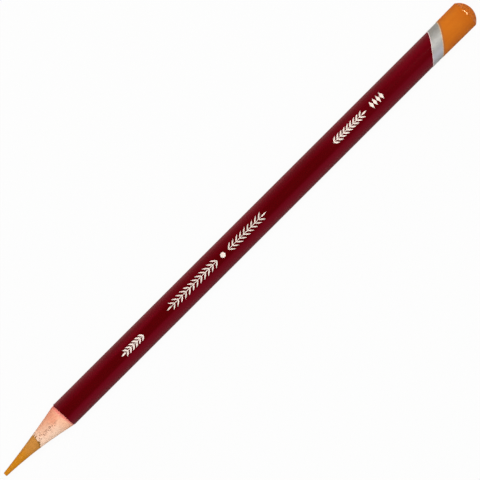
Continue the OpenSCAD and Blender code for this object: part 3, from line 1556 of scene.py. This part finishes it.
@dataclass(frozen=True)
class DippedEnd:
    """The silver band and the coloured dip over it, both with slanting edges."""

    sizes: Sizes
    coats: TurnedCoat
    waviness: float = 0.012
    band_seed: float = 1.0
    dip_seed: float = 4.0
    # Steps behind the band's front line, with the share of its thickness that it has there
    band_front: tuple[tuple[float, float], ...] = (
        (0.0, 0.0),
        (0.004, 0.55),
        (0.025, 1.0),
        (0.12, 1.0),
    )
    # The rest of the band: how far behind its front line it starts, how far it is sunk from the
    # full thickness, and its rings
    band_start: float = 0.6
    band_sink: float = 0.004
    band_rings: int = 8
    # Steps behind the dip's edge, with how far it has sunk from its brim there
    dip_brim: tuple[tuple[float, float], ...] = ((0.05, 0.0), (0.14, 0.006), (0.3, 0.012))
    # The rest of the dip: how far behind its edge it starts, and its rings on the blank's dome,
    # along its side, round the rim and over the dome
    dip_start: float = 0.4
    blank_rings: int = 9
    side_rings: int = 9
    rim_rings: int = 12
    dome_rings: int = 26

    def build(self) -> list[bpy.types.Object]:
        """Makes both coats.

        Returns:
            The band and the dip.
        """
        return [self._band(), self._dip()]

    def _slant(self) -> dict[str, float]:
        """What the tree needs for the slanting lines."""
        s = self.sizes
        return {
            "Slant": s.slant,
            "Slant_Turn": math.radians(s.dip_turn),
            "Waviness": self.waviness * MM,
        }

    def _band(self) -> bpy.types.Object:
        """Makes the silver band, a film with a soft front edge."""
        s = self.sizes
        start, stop = s.band_edge, s.dip_edge + s.band_lap
        section = Profile()
        for step, share in self.band_front:
            section.corner(start + step, s.barrel_r + s.silver_t * share, slant=1.0, sag=1.0)
        for share in np.linspace(0, 1, self.band_rings):
            x = start + self.band_start + (stop - start - self.band_start) * share
            section.corner(x, s.silver_r - self.band_sink, slant=1.0, sag=1 - share)
        section.corner(stop, s.barrel_r, slant=1.0)
        section.corner(start + 2, s.barrel_r, slant=1.0, sag=0.6)
        section.corner(start, s.barrel_r, slant=1.0, sag=1.0)
        piece = self.coats.turn(
            "silver_band_coat",
            section,
            SilverFinish(s).build(),
            Sag=s.band_sag * MM,
            Sag_Turn=math.radians(s.band_sag_turn),
            Seed=self.band_seed,
            **self._slant(),
        )
        return settle(piece, Slot.SILVER, Node.BAND)

    def _dip(self) -> bpy.types.Object:
        """Makes the dip: a lip at its edge, a slow taper, the rounded rim and the dome."""
        s, edge = self.sizes, self.sizes.dip_edge
        edge_r = s.silver_r + s.dip_t
        reach = s.slant * s.rim_r
        taper = (s.rim_r - edge_r) / (s.rounding_x - edge + reach)
        at_edge = edge_r + taper * reach
        section = Profile()
        for r in np.linspace(0, s.barrel_r, self.blank_rings):
            section.corner(s.blank_dome_x(float(r)), r)
        section.corner(edge + s.band_lap + 3, s.barrel_r, slant=0.5)
        # Under the dip, over the end of the silver, and round the lip at the dip's edge
        for step, r in (
            (s.band_lap + 0.01, s.barrel_r),
            (s.band_lap, s.silver_r),
            (0.02, s.silver_r),
            (0.0, s.silver_r + s.dip_t * 0.4),
            (0.012, s.silver_r + s.dip_t * 0.85),
        ):
            section.corner(edge + step, r, slant=1.0)
        for step, drop in self.dip_brim:
            section.corner(edge + step, at_edge - drop, slant=1.0, taper=taper)
        for share in np.linspace(0, 1, self.side_rings)[1:]:
            x = edge + self.dip_start + (s.rounding_x - edge - self.dip_start) * share
            r = min(at_edge + taper * (x - edge), s.rim_r)
            section.corner(x, r, slant=1 - share, taper=taper)
        inner, small = s.rim_r - s.rim_rounding, s.rim_rounding
        steep = math.asin(inner / (s.dome_r - small))
        for angle in np.linspace(0, math.pi / 2 - steep, self.rim_rings)[1:]:
            section.corner(s.rounding_x + small * math.sin(angle), inner + small * math.cos(angle))
        for angle in np.linspace(steep, 0, self.dome_rings)[1:]:
            section.corner(s.dome_centre + s.dome_r * math.cos(angle), s.dome_r * math.sin(angle))
        finish = DipFinish(s).build()
        piece = self.coats.turn(
            "end_dip_coat", section, finish, Seed=self.dip_seed, **self._slant()
        )
        return settle(piece, Slot.DIP, Node.DIP)


class StampedRow(ShapeNodes):
    """Stamps petals in pairs along a stem and wraps them round the barrel."""

    # The petals' random scale
    LEAST, MOST = 0.94, 1.03
    # Share of the pitch by which the bud stands short of where the next pair would
    BUD_GAP = 0.35
    # Share of its width that a petal keeps at its ends, so that they keep their faces
    BLUNTNESS = 0.04

    def __init__(self) -> None:
        """Builds the tree."""
        super().__init__("stamped_row")
        count = self.entry("Count", "NodeSocketInt")
        seed = self.entry("Seed", "NodeSocketInt")
        sprig = self.entry("Sprig", "NodeSocketBool")
        start, pitch, heading, spread, offset, round_r, foil = self.entries(
            "Start", "Pitch", "Heading", "Spread", "Offset", "Round Radius", "Foil Thickness"
        )
        length, width, outline, stem = self.entries(
            "Petal Length", "Petal Width", "Outline", "Stem Width"
        )
        petal = self._petal(length, width, foil, outline)
        inputs = {
            "Count": count,
            "Start Location": self.vector(start, 0.0, 0.0),
            "Offset": self.vector(pitch, 0.0, 0.0),
        }
        line = self.add("GeometryNodeMeshLine", inputs=inputs)
        inputs = {"Min": self.LEAST, "Max": self.MOST, "Seed": seed}
        size = self.add("FunctionNodeRandomValue", {"data_type": "FLOAT"}, inputs)
        rows = []
        for sign in (1.0, -1.0):
            inputs = {
                "Points": line,
                "Instance": petal,
                "Rotation": self.vector(0.0, 0.0, heading + spread * sign),
                "Scale": self.vector(size, size, 1.0),
            }
            rows.append(self.add("GeometryNodeInstanceOnPoints", inputs=inputs))
        end = start + pitch * (count - self.BUD_GAP)
        inputs = {
            "Geometry": petal,
            "Translation": self.vector(end, 0.0, 0.0),
            "Rotation": self.vector(0.0, 0.0, heading),
        }
        bud = self.add("GeometryNodeTransform", inputs=inputs)
        leaves = self.joined(rows[1], bud, self._stem(start, end, stem, foil))
        inputs = {"Switch": sprig, "True": leaves}
        extra = self.add("GeometryNodeSwitch", {"input_type": "GEOMETRY"}, inputs)
        inputs = {"Geometry": self.joined(rows[0], extra)}
        flat = self.add("GeometryNodeRealizeInstances", inputs=inputs)
        x, y, z = self.split(self.add("GeometryNodeInputPosition"))
        bent, out = (y + offset) / round_r, round_r + z
        self.close(self.moved(flat, self.vector(x, out * bent.sin(), out * bent.cos())))

    def _box(self, along: int, across: int) -> tuple[Wire, Wire, Wire, Wire]:
        """A unit box with corners along and across it, and their places."""
        inputs = {
            "Size": (1.0, 1.0, 1.0),
            "Vertices X": along,
            "Vertices Y": across,
            "Vertices Z": 2,
        }
        box = self.add("GeometryNodeMeshCube", inputs=inputs)
        return (box, *self.split(self.add("GeometryNodeInputPosition")))

    def _petal(self, length: Wire, width: Wire, foil: Wire, outline: Wire) -> Wire:
        """One petal, which starts at the stem and comes to a point."""
        box, x, y, z = self._box(13, 3)
        bow = (1.0 - abs(x * 2.0) ** outline).most(self.BLUNTNESS)
        return self.moved(box, self.vector((x + 0.5) * length, y * width * bow, z * foil))

    def _stem(self, start: Wire, end: Wire, width: Wire, foil: Wire) -> Wire:
        """The stem along the row."""
        box, x, y, z = self._box(41, 2)
        return self.moved(box, self.vector(start + (x + 0.5) * (end - start), y * width, z * foil))


@dataclass(frozen=True)
class StampedLine:
    """One stamped row: where it stands, how it grows and what it is made of."""

    name: str
    start: float
    pitch: float
    count: int
    length: float
    width: float
    offset: float
    seed: int
    heading: float = 0.0
    spread: float = 38.0
    shape: StampShape = StampShape.LEAF
    stem: float = 0.17


@dataclass(frozen=True)
class FoilMarks:
    """Foil stamping along the barrel: plain leaf sprigs, a dot and lozenges."""

    sizes: Sizes
    foil: float = 0.03
    dot_r: float = 0.74
    dot_x: float = -5.45
    dot_offset: float = 0.22
    dot_columns: int = 48
    # The rows from the point to the dipped end: name, start, pitch, count, petal length and
    # width, offset across the barrel, seed
    lines: tuple[StampedLine, ...] = (
        StampedLine("near_sprig", -35.6, -1.14, 6, 1.75, 0.5, 0.08, 2, heading=180.0),
        StampedLine("long_sprig", -7.6, -1.45, 12, 2.1, 0.39, 0.22, 3, heading=180.0),
        StampedLine("short_sprig", -3.4, 1.41, 9, 2.1, 0.36, 0.22, 4),
        StampedLine("far_sprig", 36.7, 1.2, 9, 1.85, 0.46, 0.5, 5),
        StampedLine(
            "far_lozenges", 51.05, 1.19, 4, 2.4, 1.05, -0.7, 6, 90.0, 0.0, StampShape.LOZENGE
        ),
    )

    def build(self) -> list[bpy.types.Object]:
        """Makes the stamped pieces.

        Returns:
            The pieces.
        """
        finish, tree = FoilFinish().build(), StampedRow()
        pieces = [self._stamp(tree, line, finish) for line in self.lines]
        pieces.append(self._dot(finish))
        return [settle(piece, Slot.SILVER) for piece in pieces]

    def _stamp(
        self, tree: StampedRow, line: StampedLine, finish: bpy.types.Material
    ) -> bpy.types.Object:
        """Makes one row."""
        lengths = {
            "Start": line.start,
            "Pitch": line.pitch,
            "Petal Length": line.length,
            "Petal Width": line.width,
            "Stem Width": line.stem,
            "Offset": line.offset,
            "Round Radius": self.sizes.barrel_r,
            "Foil Thickness": self.foil,
        }
        values = {
            "Finish": finish,
            "Count": line.count,
            "Heading": math.radians(line.heading),
            "Spread": math.radians(line.spread),
            "Outline": line.shape.value,
            "Sprig": line.shape is StampShape.LEAF,
            "Seed": line.seed,
            **{name: length * MM for name, length in lengths.items()},
        }
        return tree.grow("foil_" + line.name, bpy.data.meshes.new("empty"), values)

    def _dot(self, finish: bpy.types.Material) -> bpy.types.Object:
        """Makes the round dot between the two long sprigs."""
        skin = Skin("foil_dot")
        turns = np.linspace(0, FULL_TURN, self.dot_columns, endpoint=False)
        # Its face from the middle out, its soft brink and its back: share of the radius, height
        face = [(share, 1.0) for share in (0.0, 0.35, 0.7, 0.97)]
        back = [(share, -1.0) for share in (1.0, 0.7, 0.35, 0.0)]
        for share, height in (*face, (1.0, 0.6), *back):
            bent = (self.dot_offset + self.dot_r * share * np.sin(turns)) / self.sizes.barrel_r
            out = self.sizes.barrel_r + self.foil / 2 * height
            x = self.dot_x + self.dot_r * share * np.cos(turns)
            skin.ring(x, out * np.sin(bent), out * np.cos(bent))
        return skin.build(finish)


# ---------------------------------------------------------------- the studio


@dataclass(frozen=True)
class Lamp:
    """A soft rectangular lamp that faces the pencil. Metres and watts."""

    name: str
    place: tuple[float, float, float]
    size: tuple[float, float]
    power: float
    tint: str = "#FFFFFF"
    lights: bool = True
    is_mirrored: bool = True

    def hang(self) -> None:
        """Hangs the lamp."""
        lamp = bpy.data.lights.new(self.name, "AREA")
        lamp.shape = "RECTANGLE"
        lamp.size, lamp.size_y = self.size
        lamp.energy = self.power
        lamp.color = colour(self.tint)[:3]
        holder = placed(self.name, lamp)
        holder.location = self.place
        holder.rotation_euler = Vector(self.place).to_track_quat("Z", "Y").to_euler()
        holder.visible_diffuse = self.lights
        holder.visible_glossy = self.is_mirrored


@dataclass(frozen=True)
class Studio:
    """Floor, lights and camera: a long lens that looks straight down on the pencil."""

    # Metres from the middle of the floor to its sides
    floor_half: float = 2.5
    # The lens, the width that it sees, and its roll and shifts: millimetres and degrees
    lens: float = 300.0
    sensor: float = 36.0
    view_width: float = 128.82
    roll: float = 44.95
    shift_right: float = 0.57
    shift_up: float = 0.29
    # How bright the air is at the horizon, and how much less overhead
    air: float = 0.42
    air_drop: float = 0.34
    lamps: tuple[Lamp, ...] = (
        Lamp("key_softbox", (0.38, 0.12, 0.74), (0.26, 0.42), power=4.15),
        Lamp("fill_softbox", (-0.46, -0.13, 0.74), (0.5, 0.5), power=3.9),
        Lamp("low_strip", (0.56, 0.1, 0.19), (0.42, 0.12), 9.5, tint="#FFDDA8", lights=False),
        Lamp("flank_strip", (0.0, 0.7, 0.16), (1.2, 0.1), power=1.0, is_mirrored=False),
    )

    def build(self) -> None:
        """Makes the whole set."""
        self._floor()
        self._world()
        for lamp in self.lamps:
            lamp.hang()
        self._camera()

    def _floor(self) -> None:
        """Lays the floor under the lowest point of the pencil."""
        low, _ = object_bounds()
        half = self.floor_half
        corners = [(-half, -half), (half, -half), (half, half), (-half, half)]
        mesh = bpy.data.meshes.new("white_table")
        mesh.from_pydata([(x, y, low.z) for x, y in corners], [], [(0, 1, 2, 3)])
        mesh.materials.append(FloorFinish().build())
        floor = placed("white_table", mesh)
        floor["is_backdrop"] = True

    def _world(self) -> None:
        """Gives soft light from all round, dimmer overhead, behind a white backdrop."""
        world = bpy.data.worlds.new("studio_air")
        world.use_nodes = True
        world.node_tree.nodes.clear()
        bpy.context.scene.world = world
        n = Nodes(world.node_tree)
        _, _, up = n.split(n.add("ShaderNodeTexCoord", output="Generated"))
        level = self.air - up.ease(0.0, 0.75) * self.air_drop
        camera = n.add("ShaderNodeLightPath", output="Is Camera Ray")
        strength = level + (1.0 - level) * camera
        inputs = {"Color": (1.0, 1.0, 1.0, 1.0), "Strength": strength}
        air = n.add("ShaderNodeBackground", inputs=inputs)
        n.add("ShaderNodeOutputWorld", inputs={"Surface": air})

    def _camera(self) -> None:
        """Sets the camera over the pencil, rolled so that the pencil lies corner to corner."""
        lens = bpy.data.cameras.new("camera")
        lens.lens, lens.sensor_width = self.lens, self.sensor
        lens.clip_start, lens.clip_end = 0.01, 50.0
        lens.dof.use_dof = False
        roll = math.radians(self.roll)
        right = Vector((math.cos(roll), -math.sin(roll), 0.0))
        up = Vector((math.sin(roll), math.cos(roll), 0.0))
        away = Vector((0.0, 0.0, self.view_width * self.lens / self.sensor))
        camera = placed("camera", lens)
        camera.location = (right * self.shift_right + up * self.shift_up + away) * MM
        camera.rotation_euler = (0.0, 0.0, -roll)
        bpy.context.scene.camera = camera


def main() -> None:
    """Builds the pencil and its set."""
    logging.basicConfig(level=logging.INFO, format="%(name)s: %(message)s")
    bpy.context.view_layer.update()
    _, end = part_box(Node.DIP.value)
    sizes = Sizes(top_x=round(end.x / MM, 2))
    grind = Grind(sizes)
    coats = TurnedCoat()
    Studio().build()
    PastelCore(sizes, grind).build()
    WoodCasing(sizes, grind, BrokenEdge()).build()
    Barrel(sizes, grind, coats).build()
    DippedEnd(sizes, coats).build()
    FoilMarks(sizes).build()
    bpy.context.scene.view_settings.view_transform = "Standard"


if __name__ == "__main__":
    main()
